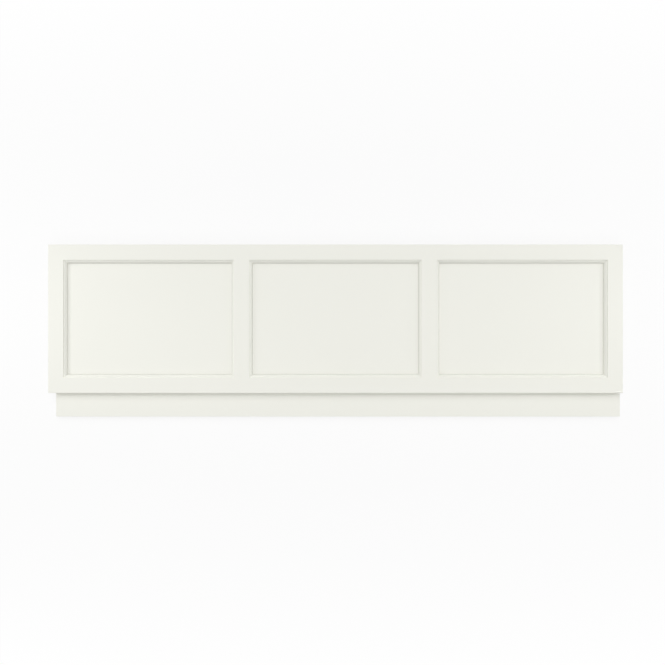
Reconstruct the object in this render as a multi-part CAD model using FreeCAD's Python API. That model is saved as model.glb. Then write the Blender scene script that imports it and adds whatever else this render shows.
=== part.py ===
import FreeCAD, Part
import os

# A front panel for a bath: a moulded frame of two stiles, two rails and two mullions holds three
# infill boards in its back rebates, and a plinth board is screwed to the back of the bottom rail.
# The panel lies flat on its back. X runs along its length, Y from the plinth up to the top edge,
# and Z out of the painted face. The origin is under the middle of the whole panel. Millimetres.

# Outer size of the framed panel
panel_length = 1795.0
panel_height = 464.0
panel_thickness = 18.0
arris_radius = 1.0

# Flat face of each bar of the frame, without its moulding
stile_face = 47.0
rail_face = 48.0
mullion_face = 47.0
middle_opening_extra = 5.0

# Moulding stuck on the inner edges of the frame: a quirk, an ovolo and a fillet above the field
moulding_width = 9.0
quirk_depth = 3.0
fillet_depth = 3.0
wall_draft = 0.6
ovolo_bulge = 1.5

# Infill boards, and the rebate in the back of the frame that they are glued into, flush
infill_thickness = 6.0
rebate_width = 8.0
infill_edge_gap = 0.5

# Plinth board behind the bottom rail, flush with one end of the panel and short of the other
plinth_height = 120.0
plinth_thickness = 16.0
plinth_drop = 76.0
plinth_left_inset = 16.0
plinth_right_inset = 0.0

# Countersunk screw holes along the plinth, and their pilot holes in the bottom rail
screw_count = 5
screw_end_margin = 90.0
screw_hole_diameter = 4.5
countersink_diameter = 9.0
pilot_diameter = 3.0
pilot_depth = 12.0

# Places worked out from the sizes above
overall_height = panel_height + plinth_drop
panel_top = overall_height / 2
panel_bottom = panel_top - panel_height
panel_left = -panel_length / 2
panel_right = panel_length / 2
panel_back = plinth_thickness
panel_front = panel_back + panel_thickness

field_level = panel_back + infill_thickness
rebate_wall_reach = moulding_width - rebate_width
infill_edge_reach = rebate_wall_reach + infill_edge_gap

opening_left = panel_left + stile_face
opening_right = panel_right - stile_face
opening_bottom = panel_bottom + rail_face
opening_top = panel_top - rail_face
side_opening = (opening_right - opening_left - 2 * mullion_face - middle_opening_extra) / 3
left_mullion_start = opening_left + side_opening
right_mullion_start = opening_right - side_opening - mullion_face

plinth_left = panel_left + plinth_left_inset
plinth_right = panel_right - plinth_right_inset
plinth_bottom = -overall_height / 2
plinth_top = plinth_bottom + plinth_height


def line(start, end):
    """A straight edge."""
    return Part.LineSegment(start, end).toShape()


def bulged_arc(start, end, outward, bulge):
    """An arc that rises by the bulge from its chord, on the outward side."""
    chord = end - start
    rise = outward - chord * (outward.dot(chord) / chord.dot(chord))
    crown = (start + end) * 0.5 + rise.normalize() * bulge
    return Part.Arc(start, crown, end).toShape()


def plain_side(across, place):
    """The square outer side of a bar."""
    return [line(place(across, panel_back), place(across, panel_front))]


def moulded_side(face_edge, inward, place):
    """The rebated and moulded side of a bar, from its back to the edge of its flat face."""
    inner = face_edge + inward * moulding_width
    rebate_wall = face_edge + inward * rebate_wall_reach
    back_corner = place(rebate_wall, panel_back)
    rebate_corner = place(rebate_wall, field_level)
    field_corner = place(inner, field_level)
    fillet_top = place(inner - inward * wall_draft, field_level + fillet_depth)
    quirk_foot = place(face_edge + inward * wall_draft, panel_front - quirk_depth)
    face_corner = place(face_edge, panel_front)
    return [
        line(back_corner, rebate_corner),
        line(rebate_corner, field_corner),
        line(field_corner, fillet_top),
        bulged_arc(fillet_top, quirk_foot, FreeCAD.Vector(0, 0, 1), ovolo_bulge),
        line(quirk_foot, face_corner),
    ]


def frame_bar(face_low, face_high, moulded_low, moulded_high, place, run):
    """A bar with its flat face between two places across it, and each side plain or moulded."""
    back_low = face_low
    back_high = face_high
    low_side = plain_side(face_low, place)
    high_side = plain_side(face_high, place)
    if moulded_low:
        back_low = face_low - rebate_wall_reach
        low_side = moulded_side(face_low, -1, place)
    if moulded_high:
        back_high = face_high + rebate_wall_reach
        high_side = moulded_side(face_high, 1, place)
    face = line(place(face_low, panel_front), place(face_high, panel_front))
    back = line(place(back_low, panel_back), place(back_high, panel_back))
    outline = Part.Wire(Part.__sortEdges__(low_side + [face] + high_side + [back]))
    return Part.Face(outline).extrude(run)


def upright(face_low, face_high, moulded_low, moulded_high, bottom, top):
    """A bar that runs up the panel, between two heights."""

    def place(across, level):
        return FreeCAD.Vector(across, bottom, level)

    run = FreeCAD.Vector(0, top - bottom, 0)
    return frame_bar(face_low, face_high, moulded_low, moulded_high, place, run)


def level_bar(face_low, face_high, moulded_low, moulded_high):
    """A bar that runs along the panel, between the flat faces of the two stiles."""

    def place(across, level):
        return FreeCAD.Vector(opening_left, across, level)

    run = FreeCAD.Vector(opening_right - opening_left, 0, 0)
    return frame_bar(face_low, face_high, moulded_low, moulded_high, place, run)


def eased_box(low, high):
    """A box between two corners, with every edge eased by the arris radius."""
    size = high - low
    box = Part.makeBox(size.x, size.y, size.z, low)
    return box.makeFillet(arris_radius, box.Edges)


def frame_envelope():
    """The outside of the glued-up frame, eased all round."""
    low = FreeCAD.Vector(panel_left, panel_bottom, panel_back)
    high = FreeCAD.Vector(panel_right, panel_top, panel_front)
    return eased_box(low, high)


def frame_pieces():
    """Stiles run the full height, rails are coped over the stiles, and mullions over the rails."""
    left_stile = upright(panel_left, opening_left, False, True, panel_bottom, panel_top)
    right_stile = upright(opening_right, panel_right, True, False, panel_bottom, panel_top)
    stiles = [left_stile, right_stile]
    top_rail = level_bar(opening_top, panel_top, True, False).cut(stiles)
    bottom_rail = level_bar(panel_bottom, opening_bottom, False, True).cut(stiles)
    rails = [top_rail, bottom_rail]
    mullions = []
    for start in (left_mullion_start, right_mullion_start):
        blank = upright(start, start + mullion_face, True, True, opening_bottom, opening_top)
        mullions.append(blank.cut(rails))
    envelope = frame_envelope()
    return {
        "left_stile": left_stile.common(envelope),
        "right_stile": right_stile.common(envelope),
        "top_rail": top_rail.common(envelope),
        "bottom_rail": bottom_rail.common(envelope).cut(pilot_holes()),
        "left_mullion": mullions[0],
        "right_mullion": mullions[1],
    }


def infill_board(left, right):
    """A board that fills one opening and lies in the rebate on all four sides."""
    width = right - left - 2 * infill_edge_reach
    height = opening_top - opening_bottom - 2 * infill_edge_reach
    corner = FreeCAD.Vector(left + infill_edge_reach, opening_bottom + infill_edge_reach, panel_back)
    return Part.makeBox(width, height, infill_thickness, corner)


def infill_pieces():
    """One board for each opening."""
    openings = {
        "left_infill_board": (opening_left, left_mullion_start),
        "middle_infill_board": (left_mullion_start + mullion_face, right_mullion_start),
        "right_infill_board": (right_mullion_start + mullion_face, opening_right),
    }
    return {name: infill_board(left, right) for name, (left, right) in openings.items()}


def screw_places():
    """Points on the back of the plinth, evenly spaced, halfway up its lap on the bottom rail."""
    height = (panel_bottom + plinth_top) / 2
    first = plinth_left + screw_end_margin
    spacing = (plinth_right - plinth_left - 2 * screw_end_margin) / (screw_count - 1)
    return [FreeCAD.Vector(first + index * spacing, height, 0) for index in range(screw_count)]


def pilot_holes():
    """Blind holes in the back of the bottom rail, one behind each screw hole."""
    up = FreeCAD.Vector(0, 0, panel_back)
    return [Part.makeCylinder(pilot_diameter / 2, pilot_depth, spot + up) for spot in screw_places()]


def countersunk_holes():
    """Through holes in the plinth, opened out to seat a countersunk head in its back face."""
    hole_radius = screw_hole_diameter / 2
    head_radius = countersink_diameter / 2
    seat_depth = head_radius - hole_radius
    cutters = []
    for spot in screw_places():
        cutters.append(Part.makeCylinder(hole_radius, plinth_thickness, spot))
        cutters.append(Part.makeCone(head_radius, hole_radius, seat_depth, spot))
    return cutters


def plinth_piece():
    """A plain board, eased on every edge, that laps the back of the bottom rail."""
    low = FreeCAD.Vector(plinth_left, plinth_bottom, 0)
    high = FreeCAD.Vector(plinth_right, plinth_top, plinth_thickness)
    return eased_box(low, high).cut(countersunk_holes())


pieces = {**frame_pieces(), **infill_pieces(), "plinth": plinth_piece()}
os.makedirs("parts", exist_ok=True)
for name, shape in pieces.items():
    shape.exportStep(f"parts/{name}.step")
    box = shape.BoundBox
    size = f"{box.XLength:.1f} x {box.YLength:.1f} x {box.ZLength:.1f} mm"
    print(f"{name}: {size}, {len(shape.Solids)} solid, {shape.Volume / 1000:.1f} cm3, valid {shape.isValid()}")
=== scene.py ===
# %% [markdown]
# # A framed bath panel in satin paint
# A bath panel closes the open side of a bath. This one is a moulded frame with three recessed
# fields, and a plinth board set back below it. It lies on its back, so the camera looks straight
# down on the painted face. The solids come in as a fixed frame that nothing here moves or resizes.
# They already have the right size, so this lesson gives them smoother mouldings, the fine joint round
# each field, the plinth's screws and a finish.

# %% Load the solids
import math

import bmesh
import bpy
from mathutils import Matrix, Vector


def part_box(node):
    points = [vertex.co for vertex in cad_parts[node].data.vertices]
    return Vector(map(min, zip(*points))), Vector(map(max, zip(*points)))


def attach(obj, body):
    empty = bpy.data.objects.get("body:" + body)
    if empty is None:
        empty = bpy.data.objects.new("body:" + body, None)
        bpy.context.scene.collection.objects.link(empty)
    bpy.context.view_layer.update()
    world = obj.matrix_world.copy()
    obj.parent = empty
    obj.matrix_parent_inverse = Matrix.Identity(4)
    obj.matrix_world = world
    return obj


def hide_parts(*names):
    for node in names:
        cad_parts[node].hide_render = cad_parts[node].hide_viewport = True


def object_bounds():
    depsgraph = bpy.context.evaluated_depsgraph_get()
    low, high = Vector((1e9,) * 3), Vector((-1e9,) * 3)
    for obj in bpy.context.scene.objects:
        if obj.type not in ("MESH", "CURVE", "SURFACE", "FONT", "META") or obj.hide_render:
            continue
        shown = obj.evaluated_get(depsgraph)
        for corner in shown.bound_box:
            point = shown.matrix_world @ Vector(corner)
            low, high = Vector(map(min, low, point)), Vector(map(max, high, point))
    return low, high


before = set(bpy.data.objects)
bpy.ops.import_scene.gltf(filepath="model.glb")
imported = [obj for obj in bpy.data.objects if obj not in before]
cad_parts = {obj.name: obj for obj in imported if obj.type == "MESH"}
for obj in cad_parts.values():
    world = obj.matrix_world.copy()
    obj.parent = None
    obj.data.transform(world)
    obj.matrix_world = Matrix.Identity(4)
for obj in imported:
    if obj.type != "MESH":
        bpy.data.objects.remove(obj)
solid_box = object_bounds()
print("solids:", ", ".join(sorted(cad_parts)))

# %% [markdown]
# ## Sizes
# The places of the bars, boards and plinth are read from the solids, so a panel of another size would
# still fit. A box round a bar doesn't tell how wide its moulding is, so such a size is written down
# where it is first needed. Blender works in metres.

# %% Read the sizes from the solids
moulding_width = 0.009
mm_per_metre = 1000

left_stile_low, left_stile_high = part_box("left_stile")
right_stile_low, right_stile_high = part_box("right_stile")
top_rail_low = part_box("top_rail")[0]
bottom_rail_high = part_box("bottom_rail")[1]
left_mullion_low, left_mullion_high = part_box("left_mullion")
right_mullion_low, right_mullion_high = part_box("right_mullion")

panel_back = left_stile_low.z
panel_front = left_stile_high.z
panel_left = left_stile_low.x
panel_right = right_stile_high.x
panel_bottom = left_stile_low.y
panel_top = left_stile_high.y
field_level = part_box("middle_infill_board")[1].z

opening_left = left_stile_high.x - moulding_width
opening_right = right_stile_low.x + moulding_width
opening_bottom = bottom_rail_high.y - moulding_width
opening_top = top_rail_low.y + moulding_width
left_mullion_face = (left_mullion_low.x + moulding_width, left_mullion_high.x - moulding_width)
right_mullion_face = (right_mullion_low.x + moulding_width, right_mullion_high.x - moulding_width)
fields = [
    (opening_left, left_mullion_face[0]),
    (left_mullion_face[1], right_mullion_face[0]),
    (right_mullion_face[1], opening_right),
]
print("fields, in mm:", [round((high - low) * mm_per_metre, 1) for low, high in fields])

# %% [markdown]
# ## The moulding's profile
# A spindle moulder cuts this profile along the inner edges of the bars: a narrow step down called a
# quirk, a round called an ovolo, a second step called a fillet, and behind it the rebate for the
# infill board. The profile is a list of points, each with its distance in from the flat face and its
# level. The round stretches are worked out as arcs, so that a finer curve is only a matter of more
# steps. Paint never leaves a sharp edge, so the first corner is a small arc as well.

# %% Work out the profile
edge_softening = 0.0005
edge_steps = 3
quirk_depth = 0.003
wall_draft = 0.0006
ovolo_bulge = 0.0015
ovolo_steps = 14
fillet_depth = 0.003
rebate_width = 0.008


def arc_points(start, end, bulge, steps):
    """Points on an arc from start to end that rises by the bulge from its chord, after the start."""
    chord = end - start
    rise = Vector((-chord.y, chord.x)).normalized()
    radius = (chord.length ** 2 / 4 + bulge ** 2) / (2 * bulge)
    centre = (start + end) / 2 + rise * (bulge - radius)
    half_turn = math.asin(chord.length / 2 / radius)
    points = []
    for step in range(1, steps + 1):
        angle = half_turn * (2 * step / steps - 1)
        along = chord.normalized() * math.sin(angle)
        points.append(centre + (along + rise * math.cos(angle)) * radius)
    return points


quarter_round_bulge = edge_softening * (1 - math.sqrt(0.5))
face_corner = Vector((0, panel_front))
softened_corner = Vector((edge_softening, panel_front - edge_softening))
quirk_foot = Vector((wall_draft, panel_front - quirk_depth))
fillet_top = Vector((moulding_width - wall_draft, field_level + fillet_depth))
rebate_wall = moulding_width - rebate_width

profile = [face_corner]
profile += arc_points(face_corner, softened_corner, quarter_round_bulge, edge_steps)
profile.append(quirk_foot)
profile += arc_points(quirk_foot, fillet_top, ovolo_bulge, ovolo_steps)
profile.append(Vector((moulding_width, field_level)))
profile.append(Vector((rebate_wall, field_level)))
profile.append(Vector((rebate_wall, panel_back)))
print("profile points:", len(profile))

# %% [markdown]
# ## How a bar is made
# A bar starts as one flat rectangle, its front face. The edge that gets the moulding is extruded
# through the profile step by step. After each step the new edge is shortened by as much as it moved
# in, at both ends, and this gives the 45 degree mitre in the corners of a field. A curve swept along
# a path would give the same shape, but then the mitre and the butt joints would have to be cut.
# The helpers below start such a rectangle and cut it across where a moulded stretch begins or ends.

# %% Start a bar
X, Y, Z = 0, 1, 2


def start_bar(name, low, high):
    """Lays the front face of a bar between two corners and opens it for editing."""
    middle = (low + high) / 2
    bpy.ops.object.select_all(action="DESELECT")
    bpy.ops.mesh.primitive_plane_add(size=1.0, location=(middle.x, middle.y, panel_front))
    bar = bpy.context.object
    bar.name = name
    bar.data.name = name
    bar.scale = (high.x - low.x, high.y - low.y, 1.0)
    bpy.ops.object.transform_apply(location=True, rotation=True, scale=True)
    bpy.ops.object.mode_set(mode="EDIT")
    bpy.ops.mesh.select_mode(type="EDGE")
    return bar


def cut_at(axis, place):
    """Cuts the open mesh right across at one place along X or Y."""
    point = Vector((0, 0, 0))
    point[axis] = place
    normal = Vector((0, 0, 0))
    normal[axis] = 1
    bpy.ops.mesh.select_all(action="SELECT")
    bpy.ops.mesh.bisect(plane_co=point, plane_no=normal)


print("bars start at the level, in mm:", round(panel_front * mm_per_metre, 1))

# %% [markdown]
# ## Picking edges
# By hand, an edge is picked with a click. A script has no mouse, so it goes through the edges and
# selects those that pass a test, mostly of their place. Places are compared with a small allowance,
# because a mesh keeps its corners as rounded numbers.

# %% Pick edges by their place
tiny = 0.00002


def pick_edges(bar, wanted):
    """Selects the edges that pass a test, and nothing else."""
    bpy.ops.mesh.select_all(action="DESELECT")
    mesh = bmesh.from_edit_mesh(bar.data)
    for edge in mesh.edges:
        if wanted(edge):
            edge.select_set(True)
    bmesh.update_edit_mesh(bar.data)


def lies_on(edge, axis, place):
    """True if both ends of an edge are at that place along an axis."""
    return all(abs(corner.co[axis] - place) < tiny for corner in edge.verts)


def lies_between(edge, axis, low, high):
    """True if both ends of an edge are between two places along an axis."""
    return all(low - tiny < corner.co[axis] < high + tiny for corner in edge.verts)


print("places are matched within, in mm:", tiny * mm_per_metre)

# %% [markdown]
# ## Moulding an edge
# The first helper takes one stretch of the face's edge through the profile. The moulded stretch is
# then open at its two ends, and the second helper puts one face across such an end, which is the
# mitre that the next bar's moulding meets.

# %% Mould an edge and close its mitres


def mould_edge(bar, along, face_edge, inward, run):
    """Extrudes one stretch of a face's edge through the profile, with a mitre at both ends."""
    across = Y if along == X else X
    low, high = run
    centre = Vector((0, 0, 0))
    centre[along] = (low + high) / 2
    pick_edges(bar, lambda edge: lies_on(edge, across, face_edge) and lies_between(edge, along, low, high))
    for before, after in zip(profile, profile[1:]):
        move = Vector((0, 0, after.y - before.y))
        move[across] = inward * (after.x - before.x)
        bpy.ops.mesh.extrude_edges_move(TRANSFORM_OT_translate={"value": move})
        stretch = Vector((1, 1, 1))
        stretch[along] = (high - low - 2 * after.x) / (high - low - 2 * before.x)
        bpy.ops.transform.resize(value=stretch, center_override=centre)


def close_mitre(bar, along, face_edge, inward, end, into_run):
    """Puts a face across one open end of a moulded stretch."""
    across = Y if along == X else X
    across_span = sorted((face_edge, face_edge + inward * moulding_width))
    along_span = sorted((end, end + into_run * moulding_width))

    def is_open_end(edge):
        if not edge.is_boundary or lies_on(edge, Z, panel_back):
            return False
        return lies_between(edge, across, *across_span) and lies_between(edge, along, *along_span)

    pick_edges(bar, is_open_end)
    bpy.ops.mesh.edge_face_add()


print("extrusions for each moulded stretch:", len(profile) - 1)

# %% [markdown]
# ## Rounded arrises and even shading
# The arrises, which are the panel's outer edges, are sanded round on the real board. Only an edge where
# two outside planes meet is one, so the joints between the bars stay tight. A rounded piece is shaded
# smooth, with its normals weighted by area, because a plain smooth shading would bend the light on the
# large flats beside those small rounds.

# %% Find the arrises and shade a piece
smooth_angle = math.radians(35)
outside = [
    (X, panel_left),
    (X, panel_right),
    (Y, panel_bottom),
    (Y, panel_top),
    (Z, panel_back),
    (Z, panel_front),
]


def is_arris(edge):
    """True if an edge is where two of the panel's outside planes meet."""
    return sum(lies_on(edge, *plane) for plane in outside) == 2


def shade_evenly(piece):
    """Shades the rounds smooth and keeps the flats flat."""
    bpy.ops.object.select_all(action="DESELECT")
    piece.select_set(True)
    bpy.context.view_layer.objects.active = piece
    bpy.ops.object.shade_smooth_by_angle(angle=smooth_angle)
    even_normals = piece.modifiers.new("even_normals", "WEIGHTED_NORMAL")
    even_normals.keep_sharp = True
    bpy.ops.object.modifier_apply(modifier=even_normals.name)


print("outside planes:", len(outside))

# %% [markdown]
# ## Closing a bar
# The moulded edges come first. The plain sides are then the front face's free edges, extruded straight
# down, and the back is one face. The result is a closed body with no loose faces. A bevel rounds its
# arrises last, when both faces beside each of them are there.

# %% Make a whole bar
arris_radius = 0.001
arris_steps = 4


def make_bar(name, low, high, along, moulded):
    """Models a bar from its flat face, and the stretches (face edge, inward, run) that are moulded."""
    bar = start_bar(name, low, high)
    for place in sorted({place for edge, inward, run in moulded for place in run}):
        if low[along] + tiny < place < high[along] - tiny:
            cut_at(along, place)
    for face_edge, inward, run in moulded:
        mould_edge(bar, along, face_edge, inward, run)
    pick_edges(bar, lambda edge: edge.is_boundary and lies_on(edge, Z, panel_front))
    drop = Vector((0, 0, panel_back - panel_front))
    bpy.ops.mesh.extrude_edges_move(TRANSFORM_OT_translate={"value": drop})
    for face_edge, inward, run in moulded:
        close_mitre(bar, along, face_edge, inward, run[0], 1)
        close_mitre(bar, along, face_edge, inward, run[1], -1)
    pick_edges(bar, lambda edge: edge.is_boundary)
    bpy.ops.mesh.edge_face_add()
    pick_edges(bar, is_arris)
    bpy.ops.mesh.bevel(offset=arris_radius, segments=arris_steps, affect="EDGES")
    bpy.ops.mesh.select_all(action="SELECT")
    bpy.ops.mesh.normals_make_consistent(inside=False)
    bpy.ops.object.mode_set(mode="OBJECT")
    shade_evenly(bar)
    return bar


print("arrises are rounded by, in mm:", arris_radius * mm_per_metre)

# %% [markdown]
# ## The six bars
# Two stiles run the full height and each has one moulded stretch. The rails lie between the stiles
# and are moulded along each of the three fields, with plain gaps where the mullions meet them. The
# mullions are moulded on both sides. Each bar takes the place of its solid, whose curve has fewer
# facets than a close look needs. The paint fills the joints, so no line shows where two bars meet.

# %% Model the bars
upright_run = (opening_bottom, opening_top)
bars = {
    "left_stile": make_bar(
        "painted_left_stile",
        Vector((panel_left, panel_bottom)),
        Vector((opening_left, panel_top)),
        Y,
        [(opening_left, 1, upright_run)],
    ),
    "right_stile": make_bar(
        "painted_right_stile",
        Vector((opening_right, panel_bottom)),
        Vector((panel_right, panel_top)),
        Y,
        [(opening_right, -1, upright_run)],
    ),
    "top_rail": make_bar(
        "painted_top_rail",
        Vector((opening_left, opening_top)),
        Vector((opening_right, panel_top)),
        X,
        [(opening_top, -1, field) for field in fields],
    ),
    "bottom_rail": make_bar(
        "painted_bottom_rail",
        Vector((opening_left, panel_bottom)),
        Vector((opening_right, opening_bottom)),
        X,
        [(opening_bottom, 1, field) for field in fields],
    ),
}
for node, face in (("left_mullion", left_mullion_face), ("right_mullion", right_mullion_face)):
    bars[node] = make_bar(
        "painted_" + node,
        Vector((face[0], opening_bottom)),
        Vector((face[1], opening_top)),
        Y,
        [(face[0], -1, upright_run), (face[1], 1, upright_run)],
    )
print("bars:", len(bars))

# %% [markdown]
# ## Boards and cuts
# The infill boards and the plinth start as boxes at the size of their solids. Holes are cut with a
# Boolean modifier, because drawing round holes into a flat face by hand leaves uneven faces round
# them. The exact solver is the slowest, but it copes best with faces that nearly meet.

# %% Start a box and cut a piece
cut_solver = "EXACT"


def start_box(name, low, high):
    """Adds a box between two corners."""
    bpy.ops.object.select_all(action="DESELECT")
    bpy.ops.mesh.primitive_cube_add(size=1.0, location=(low + high) / 2)
    box = bpy.context.object
    box.name = name
    box.data.name = name
    box.scale = high - low
    bpy.ops.object.transform_apply(location=True, rotation=True, scale=True)
    return box


def cut_away(piece, cutter):
    """Cuts one closed shape out of a piece, and removes the cutter."""
    cut = piece.modifiers.new("cut", "BOOLEAN")
    cut.operation = "DIFFERENCE"
    cut.solver = cut_solver
    cut.object = cutter
    bpy.ops.object.select_all(action="DESELECT")
    piece.select_set(True)
    bpy.context.view_layer.objects.active = piece
    bpy.ops.object.modifier_apply(modifier=cut.name)
    bpy.data.objects.remove(cutter, do_unlink=True)


print("cuts are made by the solver:", cut_solver)

# %% [markdown]
# ## Round pieces
# A round cutter, or a screw, starts as a disc, which is extruded and resized step by step along its
# axis, much as it would be turned on a lathe. A profile could be spun instead, but its two ends would
# then have to be merged.

# %% Turn a round piece
round_sides = 48


def turn_piece(name, centre, steps):
    """Draws a round piece upwards from a disc, through steps of (level, radius)."""
    first_level, first_radius = steps[0]
    spot = (centre.x, centre.y, first_level)
    bpy.ops.object.select_all(action="DESELECT")
    bpy.ops.mesh.primitive_circle_add(
        vertices=round_sides, radius=first_radius, fill_type="NGON", location=spot
    )
    piece = bpy.context.object
    piece.name = name
    piece.data.name = name
    bpy.ops.object.transform_apply(location=True, rotation=True, scale=True)
    bpy.ops.object.mode_set(mode="EDIT")
    bpy.ops.mesh.select_mode(type="FACE")
    bpy.ops.mesh.select_all(action="SELECT")
    for (level_before, radius_before), (level, radius) in zip(steps, steps[1:]):
        rise = (0, 0, level - level_before)
        bpy.ops.mesh.extrude_region_move(TRANSFORM_OT_translate={"value": rise})
        share = radius / radius_before
        bpy.ops.transform.resize(value=(share, share, 1), center_override=(centre.x, centre.y, level))
    bpy.ops.mesh.select_all(action="SELECT")
    bpy.ops.mesh.normals_make_consistent(inside=False)
    bpy.ops.object.mode_set(mode="OBJECT")
    return piece


print("sides of a round piece:", round_sides)

# %% [markdown]
# ## The infill boards
# A board lies in the rebates behind the moulding, glued on all four sides. Where the moulding stands
# on it a thin dark line shows at the joint. A narrow groove there takes real shade from every side, and
# its faces are also coloured dark, which is painted shade in the crease. Insets of the board's front face
# draw the groove, and the faces in it are marked with an attribute that the paint reads later.

# %% Model the infill boards
joint_width = 0.0002
joint_depth = 0.0012
joint_draft = 0.00005
facing_front = 0.5


def make_infill_board(node, field):
    """Models one infill board, with the joint's groove along the foot of the moulding."""
    low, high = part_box(node)
    board = start_box("painted_" + node, low, high)
    bpy.ops.object.mode_set(mode="EDIT")
    bpy.ops.mesh.select_mode(type="FACE")
    bpy.ops.mesh.select_all(action="DESELECT")
    mesh = bmesh.from_edit_mesh(board.data)
    for face in mesh.faces:
        face.select_set(face.normal.z > facing_front)
    bmesh.update_edit_mesh(board.data)
    lap = field[0] + moulding_width - low.x
    bpy.ops.mesh.inset(thickness=lap)
    bpy.ops.mesh.inset(thickness=joint_draft, depth=-joint_depth)
    bpy.ops.mesh.inset(thickness=joint_width)
    bpy.ops.mesh.inset(thickness=joint_draft, depth=joint_depth)
    bpy.ops.object.mode_set(mode="OBJECT")
    # The groove's faces are marked, so that the paint colours them dark as painted shade in the crease.
    joint_shade_faces = board.data.attributes.new("joint_shade_faces", "FLOAT", "FACE")
    for face, in_groove in zip(board.data.polygons, joint_shade_faces.data):
        in_groove.value = field_level - joint_depth - tiny < face.center.z < field_level - tiny
    shade_evenly(board)
    return board


boards = {}
for node, field in zip(("left_infill_board", "middle_infill_board", "right_infill_board"), fields):
    boards[node] = make_infill_board(node, field)
print("boards:", [board.name for board in boards.values()])

# %% [markdown]
# ## The plinth board
# The plinth is a plain board with eased edges. It laps the back of the bottom rail, and screws go
# through it from behind. Each hole opens out into a cone of 90 degrees that seats the screw's head. One
# cutter is drawn for each hole and stands a little proud of the board at both ends, so that the cut has
# no face in common with it.

# %% Model the plinth
screw_count = 5
screw_end_margin = 0.090
countersink_radius = 0.0045
screw_hole_radius = 0.00225
overcut = 0.001

plinth_low, plinth_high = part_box("plinth")
screw_height = (panel_bottom + plinth_high.y) / 2
screw_spacing = (plinth_high.x - plinth_low.x - 2 * screw_end_margin) / (screw_count - 1)
screw_places = []
for index in range(screw_count):
    across = plinth_low.x + screw_end_margin + index * screw_spacing
    screw_places.append(Vector((across, screw_height, plinth_low.z)))

plinth = start_box("painted_plinth", plinth_low, plinth_high)
bpy.ops.object.mode_set(mode="EDIT")
bpy.ops.mesh.select_mode(type="EDGE")
bpy.ops.mesh.select_all(action="SELECT")
bpy.ops.mesh.bevel(offset=arris_radius, segments=arris_steps, affect="EDGES")
bpy.ops.object.mode_set(mode="OBJECT")
seat_depth = countersink_radius - screw_hole_radius
hole_steps = [
    (plinth_low.z - overcut, countersink_radius + overcut),
    (plinth_low.z + seat_depth, screw_hole_radius),
    (plinth_high.z + overcut, screw_hole_radius),
]
for place in screw_places:
    cut_away(plinth, turn_piece("hole", place, hole_steps))
shade_evenly(plinth)
print("plinth faces:", len(plinth.data.polygons))

# %% [markdown]
# ## The plinth's screws
# Five zinc-plated wood screws hold the plinth. The first is turned from its head to its point, as the
# holes' cutters were: the head follows the cone of its seat, the shank passes through the plinth, and
# the core runs into the pilot hole in the rail. The thread is out of sight in the wood, so it isn't
# drawn.

# %% Model one screw
head_depth = 0.0003
head_rim_height = 0.0002
seat_clearance = 0.0001
shank_radius = 0.002
core_radius = 0.0014
point_radius = 0.0002
core_length = 0.0095
point_length = 0.002

head_level = plinth_low.z + head_depth
rim_level = head_level + head_rim_height
rim_radius = countersink_radius - (rim_level - plinth_low.z) - seat_clearance
neck_level = rim_level + rim_radius - shank_radius
screw_steps = [
    (head_level, rim_radius - head_rim_height),
    (rim_level, rim_radius),
    (neck_level, shank_radius),
    (panel_back - seat_clearance, shank_radius),
    (panel_back, core_radius),
    (panel_back + core_length, core_radius),
    (panel_back + core_length + point_length, point_radius),
]
first_screw = turn_piece("plinth_screw_1", screw_places[0], screw_steps)
screw_length = screw_steps[-1][0] - head_level
print("screw length, in mm:", round(screw_length * mm_per_metre, 1))

# %% [markdown]
# ## The recess for the driver
# A cross recess takes the driver's tip. Two boxes, one for each arm of the cross, are narrowed towards
# their inner end and cut out of the head, because the real recess tapers as the driver's tip does.

# %% Cut the recess
recess_length = 0.0046
recess_width = 0.0011
recess_depth = 0.0018
recess_taper = 0.5

recess_middle = Vector((screw_places[0].x, screw_places[0].y, head_level + (recess_depth - overcut) / 2))
recess_height = recess_depth + overcut
for arm in ((recess_length, recess_width), (recess_width, recess_length)):
    half_size = Vector((arm[0], arm[1], recess_height)) / 2
    cutter = start_box("recess_arm", recess_middle - half_size, recess_middle + half_size)
    bpy.ops.object.mode_set(mode="EDIT")
    pick_edges(cutter, lambda edge: lies_on(edge, Z, recess_middle.z + recess_height / 2))
    bpy.ops.transform.resize(value=(recess_taper, recess_taper, 1), center_override=recess_middle)
    bpy.ops.object.mode_set(mode="OBJECT")
    cut_away(first_screw, cutter)
shade_evenly(first_screw)
print("screw faces:", len(first_screw.data.polygons))

# %% [markdown]
# ## The other screws
# The other four are copies of the first. A linked copy would share its mesh, and then its place could
# not be applied, so each copy has a mesh of its own. Each is turned a little further than the last,
# because no two screws stop alike.

# %% Copy the screw to the other holes
screw_turn = math.radians(37)
screws = [first_screw]
for index, place in enumerate(screw_places[1:], 1):
    bpy.ops.object.select_all(action="DESELECT")
    first_screw.select_set(True)
    bpy.context.view_layer.objects.active = first_screw
    bpy.ops.object.duplicate(linked=False)
    screw = bpy.context.object
    screw.name = f"plinth_screw_{index + 1}"
    screw.data.name = screw.name
    bpy.ops.transform.translate(value=place - screw_places[0])
    bpy.ops.transform.rotate(value=index * screw_turn, orient_axis="Z", center_override=place)
    bpy.ops.object.transform_apply(location=True, rotation=True, scale=True)
    screws.append(screw)
print("screws:", [screw.name for screw in screws])

# %% [markdown]
# ## What each piece stands for
# A modelled bar or board replaces its solid, which then isn't shown. The screws replace nothing: the
# solids have only their holes. Nothing moves on a bath panel, so every piece rides on the one body.
# A closed mesh has two faces at every edge, and the count of other edges is printed as a test.

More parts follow.
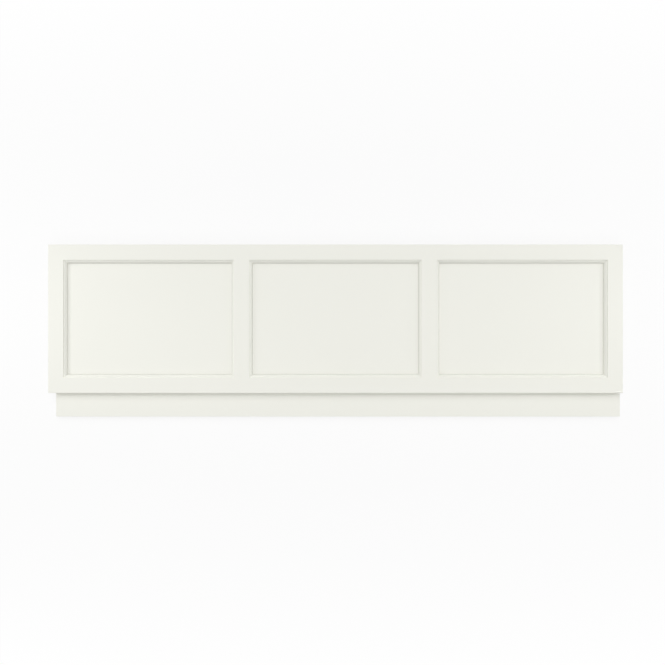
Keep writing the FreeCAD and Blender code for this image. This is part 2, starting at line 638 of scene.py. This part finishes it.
# %% Tie the pieces to the frame
painted = {**bars, **boards, "plinth": plinth}
for node, piece in painted.items():
    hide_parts(node)
for piece in list(painted.values()) + screws:
    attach(piece, "root")
    mesh = bmesh.new()
    mesh.from_mesh(piece.data)
    open_edges = sum(not edge.is_manifold for edge in mesh.edges)
    print(f"{piece.name}: {len(mesh.faces)} faces, {open_edges} open edges")
    mesh.free()

# %% [markdown]
# ## The unevenness of a coat
# No coat is quite even. Sprayed paint dries with a fine orange peel, and its tone and gloss drift a
# little over the length of a forearm. Plating is cloudy in the same way, only much finer. One node
# group gives both: a fine noise for the peel and a slow noise for the drift, each with the size of its
# patches in metres. Materials read Object coordinates, which are the panel's own metres here.

# %% Build the coat's node group
noise_detail = 2.0

coat = bpy.data.node_groups.new("uneven_coat", "ShaderNodeTree")
coat.interface.new_socket("Place", in_out="INPUT", socket_type="NodeSocketVector")
coat.interface.new_socket("Peel Size", in_out="INPUT", socket_type="NodeSocketFloat")
coat.interface.new_socket("Drift Size", in_out="INPUT", socket_type="NodeSocketFloat")
coat.interface.new_socket("Peel", in_out="OUTPUT", socket_type="NodeSocketFloat")
coat.interface.new_socket("Drift", in_out="OUTPUT", socket_type="NodeSocketFloat")
coat_in = coat.nodes.new("NodeGroupInput")
coat_out = coat.nodes.new("NodeGroupOutput")
for size_name, value_name in (("Peel Size", "Peel"), ("Drift Size", "Drift")):
    per_metre = coat.nodes.new("ShaderNodeMath")
    per_metre.operation = "DIVIDE"
    per_metre.inputs[0].default_value = 1.0
    coat.links.new(coat_in.outputs[size_name], per_metre.inputs[1])
    noise = coat.nodes.new("ShaderNodeTexNoise")
    noise.inputs["Detail"].default_value = noise_detail
    coat.links.new(coat_in.outputs["Place"], noise.inputs["Vector"])
    coat.links.new(per_metre.outputs[0], noise.inputs["Scale"])
    coat.links.new(noise.outputs["Fac"], coat_out.inputs[value_name])
print("group:", coat.name)

# %% [markdown]
# ## Helpers for the materials
# A material is a small network. These helpers place the coat's group, and mix two values or two
# colours by a mask, so that each material below reads like a recipe.

# %% Place the group and mix by a mask


def place_coat(tree, place, peel_size, drift_size):
    """Puts the uneven coat into a material, with its own sizes."""
    node = tree.nodes.new("ShaderNodeGroup")
    node.node_tree = coat
    node.inputs["Peel Size"].default_value = peel_size
    node.inputs["Drift Size"].default_value = drift_size
    tree.links.new(place, node.inputs["Place"])
    return node


def value_between(tree, mask, low, high, mask_low=0.0, mask_high=1.0):
    """A value that goes from low to high as the mask goes through its range."""
    node = tree.nodes.new("ShaderNodeMapRange")
    node.inputs["From Min"].default_value = mask_low
    node.inputs["From Max"].default_value = mask_high
    node.inputs["To Min"].default_value = low
    node.inputs["To Max"].default_value = high
    tree.links.new(mask, node.inputs["Value"])
    return node.outputs["Result"]


def mix_by(tree, mask, kind, first, second):
    """Mixes two values or colours, each a constant or a socket, by a mask."""
    node = tree.nodes.new("ShaderNodeMix")
    node.data_type = kind
    sockets = [socket for socket in node.inputs if socket.enabled]
    tree.links.new(mask, sockets[0])
    for socket, source in zip(sockets[1:], (first, second)):
        if isinstance(source, bpy.types.NodeSocket):
            tree.links.new(source, socket)
        else:
            socket.default_value = source
    return [socket for socket in node.outputs if socket.enabled][0]


print("the coat's sockets:", [socket.name for socket in coat.interface.items_tree])

# %% [markdown]
# ## Where the paint differs
# The face has one paint, but it doesn't look the same everywhere. Cut fibres drink more of it, so the
# moulding and the cut edges are duller than the flats, and their colour is darkened as painted shade. The
# back has only a primer, and the joint round each board is coloured dark as painted shade in its crease.
# Three masks find these places: two by the slope of the surface, and one by the attribute of the joint's
# faces. A slope is read from the normal in object coordinates, so it holds from every side.

# %% Find the moulding, the back and the joint
moulding_slope = (0.90, 0.99)
back_slope = (-0.7, -0.3)

satin_paint = bpy.data.materials.new("satin_paint")
satin_paint.use_nodes = True
paint = satin_paint.node_tree
paint_shader = paint.nodes["Principled BSDF"]
paint_place = paint.nodes.new("ShaderNodeTexCoord")
facing = paint.nodes.new("ShaderNodeSeparateXYZ")
paint.links.new(paint_place.outputs["Normal"], facing.inputs[0])
on_moulding = value_between(paint, facing.outputs["Z"], 1.0, 0.0, *moulding_slope)
on_back = value_between(paint, facing.outputs["Z"], 1.0, 0.0, *back_slope)
# The joint's mask: its faces get a dark colour as painted shade in the crease.
joint_shade_attribute = paint.nodes.new("ShaderNodeAttribute")
joint_shade_attribute.attribute_name = "joint_shade_faces"
in_joint = joint_shade_attribute.outputs["Fac"]
print("masked by slope:", moulding_slope, back_slope, "and by attribute:", joint_shade_attribute.attribute_name)

# %% [markdown]
# ## The colour of the paint
# The face is sprayed with an off-white satin paint over primed MDF. On the moulding and the cut edges the
# colour is a little darker than on the flats, which is painted shade; the rolled primer on the back is
# darker still, and the joint is darkest, which is painted shade in its crease. One flat colour would look
# like plastic, so each coat has two tones, which its slow drift mixes. The masks then lay the coats over
# each other.

# %% Mix the paint's colour
paint_tone = (0.871, 0.871, 0.807, 1)
paint_drift_tone = (0.858, 0.858, 0.793, 1)
# The moulding's two tones are darker than the flats' tones: painted shade on the sloped faces and cut
# edges.
moulding_shade_tone = (0.845, 0.845, 0.783, 1)
moulding_shade_drift_tone = (0.832, 0.832, 0.769, 1)
primer_tone = (0.78, 0.775, 0.73, 1)
primer_drift_tone = (0.75, 0.745, 0.70, 1)
# The joint's dark tone is painted shade in the crease between board and moulding.
joint_shade_tone = (0.30, 0.29, 0.26, 1)
sprayed_peel, sprayed_drift = 0.0025, 0.30
rolled_peel, rolled_drift = 0.0040, 0.12

sprayed = place_coat(paint, paint_place.outputs["Object"], sprayed_peel, sprayed_drift)
rolled = place_coat(paint, paint_place.outputs["Object"], rolled_peel, rolled_drift)
flat_colour = mix_by(paint, sprayed.outputs["Drift"], "RGBA", paint_tone, paint_drift_tone)
moulding_shade_colour = mix_by(paint, sprayed.outputs["Drift"], "RGBA", moulding_shade_tone, moulding_shade_drift_tone)
front_colour = mix_by(paint, on_moulding, "RGBA", flat_colour, moulding_shade_colour)
back_colour = mix_by(paint, rolled.outputs["Drift"], "RGBA", primer_tone, primer_drift_tone)
coat_colour = mix_by(paint, on_back, "RGBA", front_colour, back_colour)
paint_colour = mix_by(paint, in_joint, "RGBA", coat_colour, joint_shade_tone)
paint.links.new(paint_colour, paint_shader.inputs["Base Color"])
print("tones drift over, in m:", sprayed_drift, "sprayed and", rolled_drift, "rolled")

# %% [markdown]
# ## Gloss and peel
# Satin lies between gloss and matt, and on the moulding and the cut edges it is duller. The rolled primer
# is duller again and has a coarser stipple, and the joint is dullest. A peel is only some hundredths
# of a millimetre high, which is too fine for a mesh, so it is a bump. Gloss and peel use the masks of the
# colour, so that all three change at the same places.

# %% Set the paint's gloss and peel
flat_roughness = (0.46, 0.54)
edge_roughness = (0.62, 0.70)
primer_roughness = (0.74, 0.84)
joint_roughness = 0.9
peel_height = 0.00004

flat_dullness = value_between(paint, sprayed.outputs["Drift"], *flat_roughness)
edge_dullness = value_between(paint, sprayed.outputs["Drift"], *edge_roughness)
front_dullness = mix_by(paint, on_moulding, "FLOAT", flat_dullness, edge_dullness)
back_dullness = value_between(paint, rolled.outputs["Drift"], *primer_roughness)
coat_dullness = mix_by(paint, on_back, "FLOAT", front_dullness, back_dullness)
paint_dullness = mix_by(paint, in_joint, "FLOAT", coat_dullness, joint_roughness)
paint.links.new(paint_dullness, paint_shader.inputs["Roughness"])

relief = mix_by(paint, on_back, "FLOAT", sprayed.outputs["Peel"], rolled.outputs["Peel"])
peel_bump = paint.nodes.new("ShaderNodeBump")
peel_bump.inputs["Distance"].default_value = peel_height
paint.links.new(relief, peel_bump.inputs["Height"])
paint.links.new(peel_bump.outputs["Normal"], paint_shader.inputs["Normal"])
print("paint nodes:", len(paint.nodes))

# %% [markdown]
# ## Zinc plating
# The screws are bright zinc: a metal with a faint cloudiness and small pits. The same coat group
# serves, with pits a fifth as wide as the paint's peel and clouds a few millimetres wide.

# %% Mix the zinc plating
zinc_tone = (0.66, 0.67, 0.68, 1)
zinc_cloud_tone = (0.50, 0.51, 0.53, 1)
zinc_roughness = (0.24, 0.42)
pit_size, cloud_size = 0.0005, 0.003
pit_height = 0.000006

zinc_plating = bpy.data.materials.new("zinc_plating")
zinc_plating.use_nodes = True
zinc = zinc_plating.node_tree
zinc_shader = zinc.nodes["Principled BSDF"]
zinc_shader.inputs["Metallic"].default_value = 1.0
zinc_place = zinc.nodes.new("ShaderNodeTexCoord")
plated = place_coat(zinc, zinc_place.outputs["Object"], pit_size, cloud_size)
zinc_colour = mix_by(zinc, plated.outputs["Drift"], "RGBA", zinc_tone, zinc_cloud_tone)
zinc.links.new(zinc_colour, zinc_shader.inputs["Base Color"])
zinc_dullness = value_between(zinc, plated.outputs["Drift"], *zinc_roughness)
zinc.links.new(zinc_dullness, zinc_shader.inputs["Roughness"])
pit_bump = zinc.nodes.new("ShaderNodeBump")
pit_bump.inputs["Distance"].default_value = pit_height
zinc.links.new(plated.outputs["Peel"], pit_bump.inputs["Height"])
zinc.links.new(pit_bump.outputs["Normal"], zinc_shader.inputs["Normal"])
print("zinc nodes:", len(zinc.nodes))

# %% [markdown]
# ## Giving out the finishes
# Every board and bar of the panel has the paint, and only the screws are bare metal. A finish goes
# into a piece's first material slot, after the slots are emptied.

# %% Paint the boards and plate the screws
for piece in painted.values():
    piece.data.materials.clear()
    piece.data.materials.append(satin_paint)
for screw in screws:
    screw.data.materials.clear()
    screw.data.materials.append(zinc_plating)
print("painted:", len(painted), "plated:", len(screws))

# %% [markdown]
# ## The sky
# The panel lies under a plain white sky. A sky that is bright enough to look white would bleach the
# paint as well, so it has two strengths: white for the rays that see it straight, in a mirror or
# through glass, and half as strong for the light that falls on the panel. The helper finds the rays
# of the first kind, and the floor uses it as well.

# %% Light the sky
sky_tone = (1, 1, 1, 1)
sky_light, sky_white = 0.5, 1.0


def seen_rays(tree):
    """A mask of the rays that see the background: straight, in a mirror or through glass."""
    rays = tree.nodes.new("ShaderNodeLightPath")
    mask = rays.outputs["Is Camera Ray"]
    for ray in ("Is Glossy Ray", "Is Transmission Ray"):
        either = tree.nodes.new("ShaderNodeMath")
        either.operation = "MAXIMUM"
        tree.links.new(mask, either.inputs[0])
        tree.links.new(rays.outputs[ray], either.inputs[1])
        mask = either.outputs[0]
    return mask


sky = bpy.data.worlds.new("sky")
bpy.context.scene.world = sky
sky.use_nodes = True
sky_shader = sky.node_tree.nodes["Background"]
sky_shader.inputs["Color"].default_value = sky_tone
sky_strength = value_between(sky.node_tree, seen_rays(sky.node_tree), sky_light, sky_white)
sky.node_tree.links.new(sky_strength, sky_shader.inputs["Strength"])
print("sky:", sky.name, "nodes:", len(sky.node_tree.nodes))

# %% [markdown]
# ## The floor
# The panel lies on a plain white floor, which is a stage and no part of the panel. The floor's paint has
# two parts: a matt surface, which takes the panel's shadow and throws light back, and a white glow as
# strong as the sky looks.

# %% Lay the floor
floor_size = 30.0
floor_tone = (0.9, 0.9, 0.9, 1)

bpy.ops.object.select_all(action="DESELECT")
bpy.ops.mesh.primitive_plane_add(size=floor_size, location=(0, 0, solid_box[0].z))
floor = bpy.context.object
floor.name = "floor"
floor_paint = bpy.data.materials.new("floor_paint")
floor_paint.use_nodes = True
floor_tree = floor_paint.node_tree
floor_tree.nodes.clear()
matt = floor_tree.nodes.new("ShaderNodeBsdfDiffuse")
matt.inputs["Color"].default_value = floor_tone
white = floor_tree.nodes.new("ShaderNodeEmission")
floor.data.materials.append(floor_paint)
print("floor:", floor.name, "size, in m:", floor_size)

# %% [markdown]
# ## A floor with no horizon
# The rays that see the floor get mostly the glow, and all other rays get the matt surface alone. Round
# the panel a share of the matt surface is seen as well, which keeps the soft shadow. Further out that
# share fades in an oval, so that the floor runs into the sky with no line between them.

# %% Fade the floor into the sky
near_white, far_white = 0.80, 1.0
fade_start, fade_end = 1.1, 2.6
fade_shape = (1.0, 2.2, 1.0)

floor_mix = floor_tree.nodes.new("ShaderNodeMixShader")
floor_out = floor_tree.nodes.new("ShaderNodeOutputMaterial")
floor_place = floor_tree.nodes.new("ShaderNodeTexCoord")
oval = floor_tree.nodes.new("ShaderNodeVectorMath")
oval.operation = "MULTIPLY"
oval.inputs[1].default_value = fade_shape
floor_tree.links.new(floor_place.outputs["Object"], oval.inputs[0])
distance = floor_tree.nodes.new("ShaderNodeVectorMath")
distance.operation = "LENGTH"
floor_tree.links.new(oval.outputs["Vector"], distance.inputs[0])
white_share = value_between(
    floor_tree, distance.outputs["Value"], near_white, far_white, fade_start, fade_end
)
share = mix_by(floor_tree, seen_rays(floor_tree), "FLOAT", 0.0, white_share)
floor_tree.links.new(share, floor_mix.inputs["Fac"])
floor_tree.links.new(matt.outputs[0], floor_mix.inputs[1])
floor_tree.links.new(white.outputs[0], floor_mix.inputs[2])
floor_tree.links.new(floor_mix.outputs[0], floor_out.inputs["Surface"])
print("floor nodes:", len(floor_tree.nodes))

# %% [markdown]
# ## Light
# The sky gives about half of the light, and shades the recesses softly. A large soft box far beyond
# the top rail is the key: it throws the bottom rail's shadow on the plinth. A weaker one, far beyond the
# plinth, fills that shadow. From so far away their light hardly changes across the panel. A small one
# hangs overhead. The levels are set so that the paint renders about as its colour is written.

# %% Hang the lamps
key_place = (0, 6.8, 7.3)
key_size = (4.0, 5.5)
key_power = 338
fill_place = (0, -7.5, 6.6)
fill_size = (4.0, 3.5)
fill_power = 130
overhead_place = (0, 0, 2.4)
overhead_size = (0.8, 0.8)
overhead_power = 2
no_grid = math.pi


def hang_lamp(name, place, aim, size, power, grid):
    """Hangs a soft box at a place, turned to what it lights, with a grid that narrows its light."""
    lamp_data = bpy.data.lights.new(name, "AREA")
    lamp_data.shape = "RECTANGLE"
    lamp_data.size, lamp_data.size_y = size
    lamp_data.energy = power
    lamp_data.spread = grid
    lamp = bpy.data.objects.new(name, lamp_data)
    bpy.context.scene.collection.objects.link(lamp)
    lamp.location = place
    lamp.rotation_euler = (Vector(aim) - Vector(place)).to_track_quat("-Z", "Y").to_euler()
    print(f"{name}: {power} W, {lamp.location.length:.1f} m away")


panel_middle = (0, 0, panel_front)
hang_lamp("top_key", key_place, panel_middle, key_size, key_power, no_grid)
hang_lamp("bottom_fill", fill_place, panel_middle, fill_size, fill_power, no_grid)
hang_lamp("overhead", overhead_place, panel_middle, overhead_size, overhead_power, no_grid)

# %% [markdown]
# ## Light at the ends
# Two small soft boxes stand low beside the ends. A grid narrows their light to their own end, so each end
# is a little brighter than the middle and its outer moulding stays in shade. The right one is the mirror
# of the left one, only a little weaker.

# %% Stand a lamp beside each end
side_place = (2.4, 0.4, 1.2)
side_aim = (0.75, -0.03, panel_front)
side_size = (0.4, 0.6)
side_grid = math.radians(50)
left_power = 0.98
right_power = 0.80

for name, side, power in (("left_side", -1, left_power), ("right_side", 1, right_power)):
    spot = (side * side_place[X], side_place[Y], side_place[Z])
    aim = (side * side_aim[X], side_aim[Y], side_aim[Z])
    hang_lamp(name, spot, aim, side_size, power, side_grid)

# %% [markdown]
# ## Camera
# The camera looks straight down from the height at which the photograph was taken, worked out from
# how much more of the recesses' walls shows at the ends of the panel than in its middle.

# %% Set up the camera
photo_side = 665
metres_per_pixel = 0.0031217
camera_height = 1.714
camera_across = -0.0094
camera_along = -0.0049

camera_data = bpy.data.cameras.new("camera")
camera_data.lens = camera_data.sensor_width * camera_height / (photo_side * metres_per_pixel)
camera = bpy.data.objects.new("camera", camera_data)
bpy.context.scene.collection.objects.link(camera)
camera.location = (camera_across, camera_along, panel_front + camera_height)
bpy.context.scene.camera = camera
bpy.context.scene.view_settings.view_transform = "Standard"
print("lens, in mm:", round(camera_data.lens, 2))
